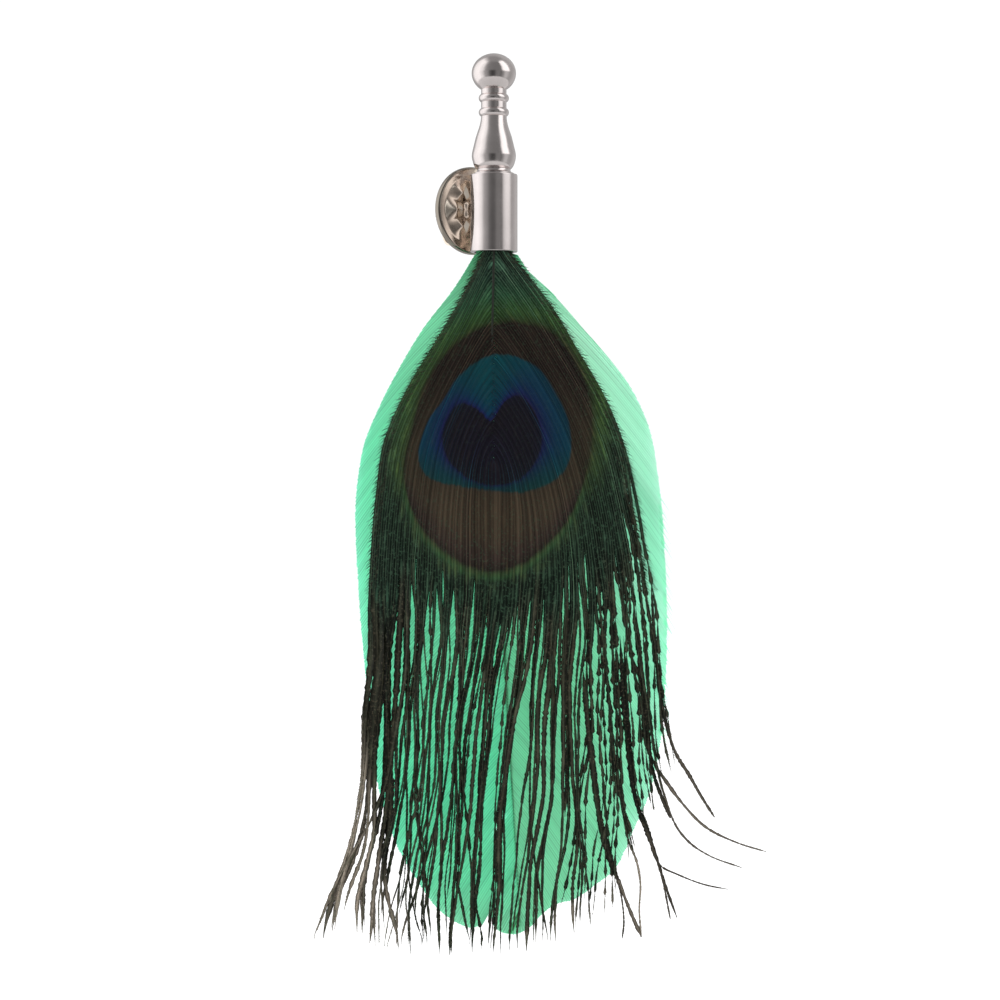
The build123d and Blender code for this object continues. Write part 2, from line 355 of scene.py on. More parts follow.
# %% Make a piece from points and faces
def new_piece(name, points, faces, facts=None, sharp=None):
    """An object with facts on its points, smooth but for edges of more than sharp degrees."""
    mesh = bpy.data.meshes.new(name)
    mesh.from_pydata(points, [], faces)
    shape = bmesh.new()
    shape.from_mesh(mesh)
    bmesh.ops.recalc_face_normals(shape, faces=shape.faces)
    shape.to_mesh(mesh)
    shape.free()
    for fact_name, values in (facts or {}).items():
        held = mesh.attributes.new(fact_name, "FLOAT", "POINT")
        held.data.foreach_set("value", values.astype(np.float32))
    mesh.shade_smooth()
    if sharp is not None:
        mesh.set_sharp_from_angle(angle=math.radians(sharp))
    return add_object(name, mesh)


# %% Turn paths into closed strands
def strands(name, path, width, ridge, twist, facts):
    """One object of many closed strands. path is (strand, step, out-down-depth) in millimetres."""
    count, steps = path.shape[:2]
    along = unit(np.gradient(path, axis=1))
    across = unit(np.cross(along, np.array([0, 0, -1])))
    lift = np.cross(across, along)
    cosine, sine = np.cos(twist)[..., None], np.sin(twist)[..., None]
    side = across * cosine + lift * sine
    top = lift * cosine - across * sine
    half = width[..., None] / 2
    rails = np.stack([path - side * half, path + top * ridge[..., None], path + side * half], axis=2)
    points = lay(rails[..., 0], rails[..., 1], rails[..., 2]).reshape(-1, 3)
    number = np.arange(count * steps * 3).reshape(count, steps, 3)
    faces = []
    for k in range(3):
        n = (k + 1) % 3
        quads = [number[:, :-1, k], number[:, 1:, k], number[:, 1:, n], number[:, :-1, n]]
        faces += np.stack(quads, axis=-1).reshape(-1, 4).tolist()
    faces += number[:, 0, :].tolist()
    faces += number[:, -1, ::-1].tolist()
    spread = {}
    for fact_name, values in {**facts, "across": np.array([[[0, 1, 0]]])}.items():
        deep = values if np.ndim(values) == 3 else np.asarray(values)[..., None]
        spread[fact_name] = np.broadcast_to(deep, (count, steps, 3)).reshape(-1)
    print(f"{name}: {count} strands, {2 * len(faces)} triangles or fewer")
    return new_piece(name, points.tolist(), faces, spread, sharp=35)


def rail_places(path, width):
    """Out and down of the three rails of each strand, lying flat."""
    along = unit(np.gradient(path, axis=1))
    offset = width[..., None] / 2 * np.array([-1, 0, 1])
    return path[..., :1] - along[..., 1:2] * offset, path[..., 1:2] + along[..., :1] * offset


def fact(tree, name):
    """The number of that name on a strand's points."""
    return node(tree, "Attribute", attribute_name=name).outputs["Fac"]


# %% [markdown]
# ## Green feather
#
# The feather behind is a goose feather, dyed mint green. Its barbs leave a slightly curved
# shaft at about forty degrees and run to the outline, so the outline sets each barb's length.
# Where barbs lie two deep, near the shaft, the green is deep. Towards the edge they thin out and
# the light behind makes them pale. A translucent shader over real overlapping barbs gives most
# of both, and painted light adds to it: the colour is painted a little paler towards the edge,
# with painted light and shade down its length. Low on the left a few barbs have come apart and
# leave a pale slit, and soft fluff stands out beyond the right edge: both are made from the same
# barb paths.

# %% The green feather's outline
green_left_edge = [
    (-2.3, 0), (-4.8, 4.1), (-9.5, 10.3), (-12.4, 15.1), (-15.1, 20.3), (-17, 25), (-17.7, 28.5),
    (-17.7, 45), (-16.9, 55), (-14.3, 73.8), (-13, 77.5), (-9.9, 82.9), (-7.4, 86.3), (-4.8, 88.2),
    (-2.9, 88.8), (-1.5, 88.3), (-0.7, 87.3), (-0.4, 87.4), (0.1, 88.7), (1, 89.4), (2.3, 89.7),
]
green_right_edge = [
    (2.9, 0), (4.2, 2), (8.6, 6.4), (13.8, 12.4), (17.2, 16.4), (20.3, 22.6), (21.6, 29.4), (22.5, 39.8),
    (22.6, 57.4), (21.8, 65.7), (20.5, 71.2), (18.2, 76.5), (15.9, 81.2), (13.1, 83.4), (10.5, 85.1),
    (8.2, 85.7), (6.6, 86.8), (4.4, 89), (2.5, 89.7), (1.7, 89.5),
]
green_depth = 0.2
green_length = 89.0
green_half_width = 22
band_barbs = 9
green_first, green_last = -4.8, 87.5
green_curve = 9
slit_root = 72.6
bore_inside = bore_radius - 0.35
green_shaft_line = through([(-5, 0.2), (0, 0.2), (30, 0.5), (58, 1.7), (87.4, 3.4), (95, 3.8)])
barb_angle = through([(0, 54), (0.2, 47), (0.5, 41), (0.85, 36), (1, 27)])


# %% [markdown]
# Each barb leaves the shaft at an angle and bends gently on its way to the outline. A curve with
# three points, the root, the tip and one between, is enough for that. The root is found from the
# tip: it lies as far up the shaft as the barb's angle asks for.

# %% The path of a green barb
def along_edge(rows):
    """A smooth line through (out, down) points, by the share of its length."""
    points = np.array(rows)
    run = np.concatenate([[0], np.cumsum(np.hypot(*np.diff(points, axis=0).T))])
    run /= run[-1]
    return through(np.stack([run, points[:, 0]], 1)), through(np.stack([run, points[:, 1]], 1))


def green_barb_path(order, t, side, edge):
    """Where a barb is at t of its length: it leaves the shaft and ends on the outline."""
    edge_out, edge_down = edge
    tip = np.stack([edge_out(order), edge_down(order)], axis=-1)
    angle = np.radians(barb_angle(order))
    root = tip[..., 1]
    for _ in range(4):
        root = tip[..., 1] - np.abs(tip[..., 0] - green_shaft_line(root)) / np.tan(angle)
    root = np.clip(root, green_first, green_last)
    start = np.stack([green_shaft_line(root), root], axis=-1)
    reach = tip - start
    far = np.linalg.norm(reach, axis=-1)[..., None]
    leave = np.arctan2(reach[..., 0], reach[..., 1]) + side * np.radians(green_curve) * (1 - order**6)
    middle = start + np.stack([np.sin(leave), np.cos(leave)], axis=-1) * far * 0.5
    t = t[..., None]
    return (1 - t) ** 2 * start + 2 * t * (1 - t) * middle + t**2 * tip


# %% [markdown]
# The barbs have to lie edge to edge, or the sheet would show holes. So the gap between two
# neighbours is measured square to their run, the barbs are spread out until those gaps are even,
# and each is made a little wider than its gap.

# %% The green feather's barbs
def across_gap(before, after, along):
    """How far apart two neighbours run, measured square to their direction."""
    apart = after - before
    return np.abs(apart[..., 0] * along[..., 1] - apart[..., 1] * along[..., 0])


def even_orders(count, side, edge):
    """Orders that keep the barbs evenly apart, where equal steps along the outline would crowd them."""
    samples = 1600
    fine = np.linspace(0, 1, samples)[:, None]
    at = np.array([[0.55, 0.6, 0.65]]) + 0 * fine
    line = green_barb_path(fine + 0 * at, at, side, edge)
    along = unit(line[:, 2] - line[:, 0])
    gaps = across_gap(line[:-1, 1], line[1:, 1], along[1:]) + 0.1 / samples
    run = np.concatenate([[0], np.cumsum(gaps)])
    middles = (np.arange(count) + 0.5) / count * run[-1]
    return np.interp(middles, run, fine[:, 0])


def green_barbs(name, side, edge_rows, count, seed, steps=16):
    """The barbs of one side, edge to edge like roof tiles, so that they make one closed sheet."""
    luck = np.random.default_rng(seed)
    edge = along_edge(edge_rows)
    order = even_orders(count, side, edge)
    middles = np.concatenate([[0], (order[1:] + order[:-1]) / 2, [1]])
    order, low, high = order[:, None], middles[:-1, None], middles[1:, None]
    t = np.linspace(0, 1, steps)[None, :]
    t_used = t * (1 + luck.normal(0, 0.002, (count, 1)))
    here, before, after = [
        green_barb_path(beside + 0 * t, t_used, side, edge) for beside in (order, low, high)
    ]
    along = unit(np.gradient(here, axis=1))
    width = np.clip(across_gap(before, after, along), 0.01, 1.5) * 1.35 + 0.012
    width *= 1 - 0.25 * rise(t, 0.97, 0.03)
    # A few barbs have come unzipped near the tip, and a pale slit shows between them.
    if side < 0:
        slit = np.exp(-(((here[:, :1, 1] - slit_root) / 0.25) ** 2)) * rise(t, 0.03, 0.08)
        width *= 1 - 0.6 * slit * rise(0.34 - t, 0, 0.12)
    out, down = here[..., 0], here[..., 1]
    out = np.where(down < 0.3, np.clip(out, -bore_inside, bore_inside), out)
    depth = green_depth + 0.02 * ((np.arange(count) % 2) - 0.5)[:, None] + 0 * t
    path = np.stack([out, down, depth], axis=-1)
    weave = 0.55 * (np.arange(count) % 2)[:, None] + 0.45 * luck.random((count, 1))
    facts = {"barb": weave, "far": np.abs(out - green_shaft_line(down)) / green_half_width}
    coarse = luck.random(count // band_barbs + 2)
    facts["band"] = np.interp(np.arange(count) / band_barbs, np.arange(len(coarse)), coarse)[:, None]
    facts.update(side=(side + 1) / 2, fall=down / green_length)
    return strands(name, path, width, np.minimum(0.03, width * 0.12), 0.08 * side, facts)


def dress(piece, material, node_name, body="pin"):
    """Gives a piece its material and the body that it rides on, and hides the solid that it stands for."""
    piece.data.materials.clear()
    piece.data.materials.append(material)
    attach(piece, body)
    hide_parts(node_name)
    print(f"{piece.name}: {len(piece.data.vertices)} points in {material.name}, rides on {body}")


# %% [markdown]
# Dye tints a barb all through, and a barb is thin enough to glow when light comes from behind.
# So most of this shader is translucent: light that falls on the back comes out at the front. A
# little plain surface over it catches the soft boxes, and the thinnest barbs let some of the
# background through.

# %% Dyed barb material
def dyed_barb():
    made, tree, face = new_material("dyed_barb", 0.7, 0.05)
    far, fall, side = [fact(tree, name) for name in ("far", "fall", "side")]
    # Painted light: the green is painted a little paler towards the edge, where thinner barbs let more light
    # through.
    green = painted(tree, far, [(0, 180, 231, 207), (0.5, 186, 235, 212), (1, 194, 244, 224)])
    tint = greys(tree, fact(tree, "barb"), [(0, 0.78), (1, 1.12)])

    # Painted light and shade by place down each side: painted shade near the ferrule's mouth and a
    # deeper green in places down the left, and painted light at the thin top right.
    left_light_and_shade = ramp(tree, fall, [
        (0, paint(205, 230, 216)), (0.05, paint(238, 246, 242)), (0.1, (1, 1.05, 1.04, 1)),
        (0.3, (0.84, 1.03, 1, 1)), (0.6, (0.88, 1.06, 1.04, 1)), (0.78, (0.78, 1.07, 1.04, 1)),
        (0.92, (0.88, 1.08, 1.06, 1)), (1, grey(1.05)),
    ])
    right_light_and_shade = ramp(tree, fall, [
        (0, paint(218, 238, 228)), (0.04, (1.15, 1.05, 1.08, 1)), (0.12, (1.3, 1.08, 1.16, 1)),
        (0.25, (1.1, 1.02, 1.04, 1)), (0.35, grey(0.98)), (0.6, (0.92, 1.03, 1, 1)),
        (1, grey(1.05)),
    ])
    painted_light_by_fall = blend_colours(tree, side, left_light_and_shade, right_light_and_shade)
    shade = blend_colours(tree, 1, tint, painted_light_by_fall, "MULTIPLY")
    colour = blend_colours(tree, 1, green, shade, "MULTIPLY")
    tree.links.new(colour, face["Base Color"])
    front = tree.nodes["Principled BSDF"].outputs[0]
    glow = node(tree, "BsdfTranslucent", colour).outputs[0]
    body = blend_shaders(tree, 0.88, front, glow)

    # Towards the edges the barbs are so thin that some of the background shows through them.
    clear = node(tree, "BsdfTransparent", (0.86, 1, 0.93, 1)).outputs[0]
    thin = greys(tree, far, [(0, 0), (0.45, 0.03), (1, 0.2)])
    paler = stretched(tree, side, 0, 1, 0.35, 1.7)
    streaky = stretched(tree, fact(tree, "band"), 0, 1, 0.6, 1.5)
    share = times(tree, times(tree, thin, paler), streaky)
    sheet = blend_shaders(tree, share, body, clear)
    tree.links.new(sheet, tree.nodes["Material Output"].inputs["Surface"])
    return made


# %% [markdown]
# A plucked and dyed feather is never quite neat. At the right edge some barbs end in loose
# points that stand out past the others, so the outline looks soft there. They follow the same
# paths as the barbs, only a little further.

# %% Fluff at the edge, and the three green pieces dressed
def green_fluff(name, side, edge_rows, count, low, high, seed):
    """Loose barb ends that stand out beyond the edge, from low to high along it."""
    luck = np.random.default_rng(seed)
    order = luck.uniform(low, high, (count, 1))
    grown = np.linspace(0, 1, 8)[None, :]
    t = 0.975 + (0.03 + luck.uniform(0, 0.06, (count, 1))) * grown
    place = green_barb_path(order + 0 * t, t, side, along_edge(edge_rows))
    depth = luck.normal(green_depth, 0.15, (count, 1)) + 0 * t
    path = np.concatenate([place, depth[..., None]], axis=-1)
    width = 0.1 * (1 - 0.8 * grown) + 0 * t
    facts = {"far": 1.0, "barb": 0.7 + 0.3 * luck.random((count, 1)), "band": 2.0}
    facts.update(side=(side + 1) / 2, fall=place[..., 1] / green_length)
    return strands(name, path, width, width * 0.1, 0, facts)


dyed = dyed_barb()
for barbs in (
    green_barbs("green_barbs_left", -1, green_left_edge, 420, 3),
    green_barbs("green_barbs_right", 1, green_right_edge, 430, 4),
    green_fluff("green_fluff", 1, green_right_edge, 120, 0.36, 0.66, 6),
):
    dress(barbs, dyed, "green_feather")


# %% [markdown]
# The shaft is a horny tube that tapers to nothing at the tip. A curve with a round bevel would
# do, but a ring of points moved along the same line as the barbs' roots is as short, and it
# bends with the page through `lay`. Fine streaks along its length make it look like horn.

# %% The green feather's shaft
def tapered_shaft(name, line, start, end, thick, thin, depth, steps=60):
    """A round shaft along a line on the page, thick at its quill and thin at its end."""
    down = np.linspace(start, end, steps)
    out = line(down)
    radius = thin + (thick - thin) * (1 - (down - start) / (end - start)) ** 1.2
    sides = 12
    turn = np.linspace(0, 2 * np.pi, sides, endpoint=False)
    ring_out = out[:, None] + radius[:, None] * np.cos(turn)
    ring_depth = depth(down)[:, None] + radius[:, None] * np.sin(turn)
    points = lay(ring_out, down[:, None] + 0 * ring_out, ring_depth).reshape(-1, 3)
    number = np.arange(steps * sides).reshape(steps, sides)
    after = np.roll(number, -1, axis=1)
    quads = np.stack([number[:-1], number[1:], after[1:], after[:-1]], axis=-1).reshape(-1, 4).tolist()
    quads.append(number[0].tolist())
    quads.append(number[-1][::-1].tolist())
    return new_piece(name, points.tolist(), quads)


streak_scale = (4000, 4000, 120)


def horn(name, dark, pale):
    """The horny stuff of a shaft: streaky along its length and a little glossy."""
    made, tree, face = new_material(name, 0.4)
    stretch = node(tree, "Mapping", node(tree, "TexCoord").outputs["Object"])
    stretch.inputs["Scale"].default_value = streak_scale
    streaks = noise(tree, stretch.outputs[0], 1, 4)
    tree.links.new(ramp(tree, streaks, [(0.3, dark), (0.75, pale)]), face["Base Color"])
    return made


dyed_horn = horn("dyed_horn", paint(45, 135, 90), paint(95, 180, 125))
green_shaft_depth = through([(-5, 0.42), (95, 0.3)])
green_shaft = tapered_shaft("green_shaft", green_shaft_line, -5, 88.6, 0.5, 0.07, green_shaft_depth)
dress(green_shaft, dyed_horn, "green_feather")

# %% [markdown]
# ## Peacock feather
#
# Each barb of an eye feather leaves the shaft at about forty degrees, bends down to run with its
# neighbours, and ends as a loose strand of the fringe. Inside the vane the barbs lie edge to
# edge. Below it they clump, twist and cross. The pattern isn't printed on the barbs: each barb
# changes colour along its length, and the eye appears where they lie together. So every point
# of a barb carries how far out of the eye it lies, and the material turns that into colour.
# Smooth outlines given by a few radii each are enough to say where teal, bronze and heart end.

# %% The eye's outlines
eye_out, eye_down = 0, 23.1
heart_out, heart_down = -0.26, 25.4
outer_ring = 6.0
eye_height = 12.0


def around(rows):
    """A closed outline from (angle in degrees, radius) rows, as a radius for any angle."""
    angles, radii = np.array(rows, dtype=float).T
    everywhere = np.concatenate([angles - 360, angles, angles + 360])
    return through(np.stack([everywhere, np.tile(radii, 3)], axis=1))


teal_edge = around([
    (0, 10), (30, 9.4), (60, 10), (90, 9.8), (120, 8.5), (150, 7.7), (180, 9.2), (210, 10.8),
    (240, 8.5), (270, 7.9), (300, 9.2), (330, 10.7),
])
bronze_edge = around([
    (0, 13.1), (30, 14), (60, 15.2), (90, 14.2), (120, 12.2), (150, 10.9), (180, 10.8), (210, 13.6),
    (240, 17), (270, 19.2), (300, 16.5), (330, 13.7),
])
heart_edge = around([
    (4, 6.6), (27, 7), (48, 7.5), (64, 7.6), (73, 6.5), (83, 4.3), (94, 3.5), (107, 4.8), (121, 6.8),
    (149, 7), (171, 6.6), (191, 6.1), (220, 5.3), (262, 4.9), (282, 5), (312, 5.5), (344, 6.1),
])


def polar(out, down, middle_out, middle_down):
    """Angle in degrees, anticlockwise from the right as seen from the front, and distance."""
    right, up = out - middle_out, middle_down - down
    return np.degrees(np.arctan2(up, right)) % 360, np.hypot(right, up)


def eye_facts(out, down):
    """ring: 0 in the eye's middle, 1 at the teal's edge, 2 at the bronze's. heart: under 1 inside it."""
    angle, far = polar(out, down, eye_out, eye_down)
    teal, bronze = teal_edge(angle), bronze_edge(angle)
    ring = np.where(far < teal, far / teal, 1 + (far - teal) / (bronze - teal))
    ring = np.where(far > bronze, 2 + (far - bronze) / outer_ring, ring)
    heart_angle, heart_far = polar(out, down, heart_out, heart_down)
    heart = heart_far / heart_edge(heart_angle)
    return {"ring": ring, "heart": heart, "high": (eye_down - down) / eye_height}


# %% [markdown]
# Two outlines and a few tables describe how the barbs run. The vane's outline is where the
# outermost barb goes, and the others share the width out between them. Below the eye the tables
# say, from the left edge to the right, how the loose strands lean, stray, thin and end.

# %% The peacock feather's outlines and tables
peacock_left = through([
    (-4, 1.2), (0, 1.4), (1.9, 2.2), (6.3, 4.4), (12, 7.8), (17.1, 10.9), (24.6, 14.3), (31, 15.3),
    (45, 16.4), (60, 17.1), (75, 18.6), (86, 21.2), (93, 22),
])
peacock_right = through([
    (-4, 1.3), (0, 2), (2.5, 4), (6.6, 7.2), (12.4, 10.7), (18.7, 14.4), (23.3, 16.4), (32.8, 18.9),
    (43.7, 20.6), (53.4, 21.6), (63.6, 22.9), (86, 23.6), (93, 23.8),
])
leave_slope = 0.78
first_root, last_root = -4, 27.0
peacock_depth = -0.62
widest = 600.0
halvings = 36
# Below the eye the strands wander. By their share of the vane, -1 at the left edge and 1 at the
# right: how far they lean by the middle of the fringe and by its tips, and how much they stray.
lean_table = through([
    (-1, 0.2), (-0.85, 0.1), (-0.6, -0.9), (-0.4, -1.5), (-0.2, -2.2), (0, -3.1), (0.1, -2.9), (0.2, -2.4),
    (0.35, -1.9), (0.5, -1.2), (0.65, -0.4), (0.8, 0.5), (1, 0.6),
])
tip_lean_table = through([
    (-1, -1.2), (-0.85, -0.8), (-0.6, -0.9), (-0.3, -1), (0, -1.5), (0.2, -1.4), (0.4, -1), (0.55, 0.5),
    (0.75, 2.8), (0.85, 4.6), (1, 6.5),
])
wander_table = through([
    (-1, 0.35), (-0.75, 0.6), (-0.4, 0.65), (-0.15, 0.3), (0.2, 0.25), (0.45, 0.5), (1, 0.35),
])
width_table = through([
    (-1, 0.95), (-0.85, 1), (-0.7, 0.64), (-0.55, 0.42), (-0.2, 0.37), (0, 0.43), (0.2, 0.52), (1, 0.65),
])
lean_from, tip_lean_from, stray_from = 40, 64, 58
parting_share, parting_width = 0.735, 0.08
tuft_pitch = 3.4
tufts_after = 3.0
tip_table = through([
    (-1, 89.5), (-0.9, 90.5), (-0.6, 92), (-0.2, 92.6), (0.1, 92.6), (0.3, 92.4), (0.45, 91.4),
    (0.57, 88.5), (0.66, 83), (0.75, 78), (0.85, 72.5), (1, 67.5),
])
long_tip = 87.0


# %% [markdown]
# `flow` gives the smooth part of a barb's path: it leaves the shaft steeply and settles at its
# own share of the vane. `clumps` and `gather` say which strands cling together and how firmly,
# `wander` is the slow wave that each of them follows on its way down, and `tufted` thins and
# thickens it along the way.

# %% How the barbs flow and clump
def spread(edge, down):
    """How wide the barbs would settle, so that the outermost one follows the outline."""
    outline = edge(down)
    gone = np.maximum(down - first_root, 0.05)
    low, high = outline, np.full_like(down, widest)
    for _ in range(halvings):
        middle = (low + high) / 2
        short = middle * (1 - np.exp(-leave_slope * gone / middle)) < outline
        low, high = np.where(short, middle, low), np.where(short, high, middle)
    return high


def flow(share, down, room):
    """How far out a barb has come: it leaves the shaft steeply and settles at its share of the vane."""
    root = first_root + (last_root - first_root) * (1 - share)
    mine = np.maximum(share * room, 0.02)
    return mine * (1 - np.exp(-leave_slope * np.maximum(down - root, 0) / mine))


def barb_gap(share, down, room, out):
    """How far apart neighbouring barbs lie in the vane, measured square to their run."""
    count = len(share)
    slope = np.gradient(out, axis=1) / np.gradient(down, axis=1)
    nudge = 0.3 / count
    gap = (flow(share + nudge, down, room) - flow(share - nudge, down, room)) / (2 * nudge) / count
    return np.clip(np.abs(gap) / np.sqrt(1 + slope**2), 0.1, 0.7)


def clumps(luck, share, curly_from, plain_sizes, curly_sizes):
    """Splits a row of strands into neighbouring clumps and gives each strand its clump's first."""
    clump = np.zeros(len(share), dtype=int)
    start = 0
    while start < len(share):
        sizes = curly_sizes if share[start, 0] > curly_from else plain_sizes
        size = luck.choice(len(sizes), p=sizes) + 1
        clump[start : start + size] = start
        start += size
    return clump


def gather(luck, share, clump, low, high):
    """For each strand: its clump's middle share, how strongly it is drawn there and its clump's luck."""
    count = len(share)
    middle, pull, phase = share.copy(), np.zeros((count, 1)), np.zeros((count, 6))
    for first in np.unique(clump):
        members = clump == first
        middle[members] = share[members].mean()
        pull[members] = luck.uniform(low, high)
        phase[members] = luck.uniform(0, 6.28, 6)
    return middle, pull, phase


def wander(phase, down, length):
    """A smooth wavering line of about unit size, whose bends are about length millimetres long."""
    slow = np.sin(2 * np.pi * down / (2.9 * length) + phase[:, :1])
    quick = np.sin(2 * np.pi * down / (1.3 * length) + phase[:, 1:2])
    return 0.75 * slow + 0.45 * quick


def tufted(turns):
    """How full a strand is: with each whole turn its barbules widen into a tuft and stop short."""
    part = turns - np.floor(turns)
    return (0.12 + 0.88 * (part / 0.85) ** 1.3) * (1 - rise(part, 0.84, 0.12))


# %% [markdown]
# Light gets through the thin barbules of a strand only where the green sheet doesn't lie behind
# it, and there the material paints that light as a paler brown. So the green outline is used a
# second time here, to tell for any place on the page whether it is clear of that sheet.

# %% Where strands hang clear of the green sheet
def green_reach(rows):
    """How far out the green sheet reaches at each place down."""
    out, down = np.abs(np.array(rows, dtype=float)).T
    order = np.argsort(down)
    return lambda place: np.interp(place, down[order], out[order])


reach_left, reach_right = green_reach(green_left_edge), green_reach(green_right_edge)
# At the left a strand counts as clear only when it is also at least this far out, in millimetres.
hanging_down = [60, 66, 71, 76, 81.6, 87]
hanging_out = [16.8, 16, 15.2, 14.7, 13.7, 10.6]


def in_the_open(out, down):
    """1 where a strand hangs clear of the green sheet, where light from behind is painted on it."""
    edge = np.where(out < 0, reach_left(down), reach_right(down))
    clear = np.where(out < 0, np.maximum(edge, np.interp(down, hanging_down, hanging_out)), edge)
    return rise(np.abs(out), clear, np.where(out < 0, 2, 3)) * np.where(out < 0, 1, 0.6)


def place_facts(path):
    """What the peacock feather's materials need to know of the places along some strands."""
    out, down = path[..., 0], path[..., 1]
    return {**eye_facts(out, down), "open": in_the_open(out, down)}


# %% [markdown]
# The loose strands below the eye are what gives the fringe its life. Neighbours cling together
# by twos and threes and then in thicker clumps, so slits open between them. At the right a
# parting runs down and the barbules stand in tufts. Where a strand hangs clear of the green
# sheet it is made thinner and painted brown, a painted glow of the light coming through its
# barbules. None of this needs a hair system: each effect is one small shift of a strand's path,
# width or colour.

# %% The peacock feather's barbs
def peacock_barbs(name, side, edge, count, free_from, curly_from, seed, steps=220):
    """The barbs of one side, from the shaft to the tips of the fringe."""
    luck = np.random.default_rng(seed)

    def each(size):
        """A random length for each strand, most of them under size."""
        return luck.normal(0, size, (count, 1))

    share = ((np.arange(count) + 0.5) / count + luck.normal(0, 0.05 / count, count))[:, None]
    root = first_root + (last_root - first_root) * (1 - share)
    tip = tip_table(side * share) - np.abs(each(2))
    tip = tip - (luck.random((count, 1)) < 0.15) * np.abs(each(9))
    stays_long = (luck.random((count, 1)) < 0.5) & (share > 0.5) & (share < 0.68)
    tip = np.where(stays_long, np.maximum(tip, long_tip), tip)
    t = np.linspace(0, 1, steps)[None, :]
    down = root + (tip - root) * t
    room = spread(edge, down)
    out = flow(share, down, room) - 0.3 * np.exp(-2.0 * (down - root))
    gap = barb_gap(share, down, room, out)

    # Neighbours cling together by twos and threes, and further down those clumps meet.
    few = clumps(luck, share, curly_from, [0.3, 0.4, 0.2, 0.1], [0.05, 0.35, 0.4, 0.2])
    many = clumps(luck, share, curly_from, [0.1, 0.14, 0.16, 0.18, 0.16, 0.14, 0.12], [0.2, 0.3, 0.3, 0.2])
    pair, pair_pull, pair_luck = gather(luck, share, few, 0.8, 1)
    inner_part = 1 - rise(share, 0.25, 0.25)
    pair_pull = pair_pull * (1 - 0.5 * inner_part)
    group, group_pull, group_luck = gather(luck, pair, many, 0.2, 0.95)

    # Below free_from the barbs are loose. Some are smooth and narrow, others carry tufts.
    free = free_from(share) + 2.0 * inner_part + 4.2 * wander(pair_luck, 0, 1) + each(1.6)
    loose = rise(down, free, 10)
    later = np.clip((down - free) / (tip - free), 0, 1)
    curly = rise(share, curly_from, 0.15) * np.ones((count, 1))
    curly = np.maximum(curly, 0.8 * (luck.random((count, 1)) < 0.1))
    plain_width = luck.uniform(0.5, 1.5, (count, 1)) * width_table(side * share)
    curly_width = luck.uniform(0.75, 1.25, (count, 1)) * (0.53 - 0.07 * rise(share, 0.75, 0.15))
    thinner = 0.25 + 0.25 * rise(share, 0.8, 0.1) if side < 0 else 0.35
    strand_width = (plain_width + (curly_width - plain_width) * curly) * (1 - thinner * later**2)
    rough_edge = 1 + (0.15 + 0.02 * curly) * luck.normal(0, 1, (count, steps)) * loose
    width = (gap * 1.5 * (1 - loose) + strand_width * loose) * rough_edge
    width *= 1 - 0.8 * rise(t, 0.96, 0.04)

    # The clumps draw together, lean and cross one another on their way down. Many end in a point.
    drawn = rise(down, free, 18) * (1 - 0.25 * rise(later, 0.8, 0.2))
    merged = rise(down - free, 4, 30)
    pointed = 0.8 * (group_luck[:, 3:4] > 2.5) * rise(later, 0.65, 0.35)
    near = flow(pair, down, room)
    out += (near - out) * np.maximum(pair_pull, 0.93 * curly) * drawn
    group_pull = np.maximum(group_pull, pointed)
    out += (flow(group, down, room) - near) * group_pull * merged * (1 - 0.5 * curly)
    if side > 0:
        apart = share - parting_share
        out += 0.7 * np.sign(apart) * np.exp(-((apart / parting_width) ** 2)) * drawn
    out = side * out + lean_table(side * group) * rise(down, lean_from, 30)
    out += tip_lean_table(side * group) * rise(down, tip_lean_from, 30)
    stray = wander_table(side * group)
    out += stray * wander(group_luck, down, 20) * rise(down, free, 18)
    out += (0.1 + 0.3 * stray) * wander(pair_luck, down, 12) * rise(down, free, 8)
    own = luck.uniform(0, 6.28, (count, 2))
    out += 0.07 * wander(own, down, 5) * loose
    astray = each(0.45) + (luck.random((count, 1)) < 0.35) * each(3.4)
    astray *= 1 - (0.9 if side < 0 else 0.6) * rise(share, 0.85, 0.1)
    out += astray * np.clip((down - stray_from) / 32, 0, 1) ** 1.8

    # On the curly strands the barbules stand in tufts that widen downwards and stop short.
    pitch = tuft_pitch + 0.9 * np.sin(pair_luck[:, 2:3]) + each(0.1)
    turns = np.maximum(down - free, 0) / pitch + 0.3 * np.sin(down / 3.1 + pair_luck[:, 3:4])
    turns += pair_luck[:, 4:5]
    bare = 0.85 * rise(down - free, tufts_after, 9)
    width *= 1 - curly * bare * (1 - 1.25 * tufted(turns))
    slow = 0.7 * np.sin(luck.uniform(0.06, 0.14, (count, 1)) * (down - free) + own[:, :1])
    twist = slow * (1 - curly) * loose + 0.25 * np.sin(turns) * curly * loose + 0.12 * side * (1 - loose)
    layer = 0.07 * ((np.arange(count) % 2) - 0.5)[:, None] * (1 - loose)
    stack = each(0.22) * rise(down, free, 25)
    path = np.stack([out, down, peacock_depth + layer + stack + 0 * down], axis=-1)
    ridge = np.minimum(width * 0.15, 0.08)
    in_open = in_the_open(out, down)
    clear_light = in_open * (0.5 - 0.45 * rise(down, 74, 8))
    width *= 1 - clear_light * (1 - curly)
    facts = {"barb": 0.8 * luck.random((count, 1)), "loose": loose, "open": in_open, "down": down}
    facts["line"] = np.arange(count)[:, None]
    rail_out, rail_down = rail_places(path, width)
    facts.update(eye_facts(rail_out, rail_down + luck.normal(0, 0.07, (count, 1, 1))))
    return strands(name, path, width, ridge, twist, facts), path, width, share
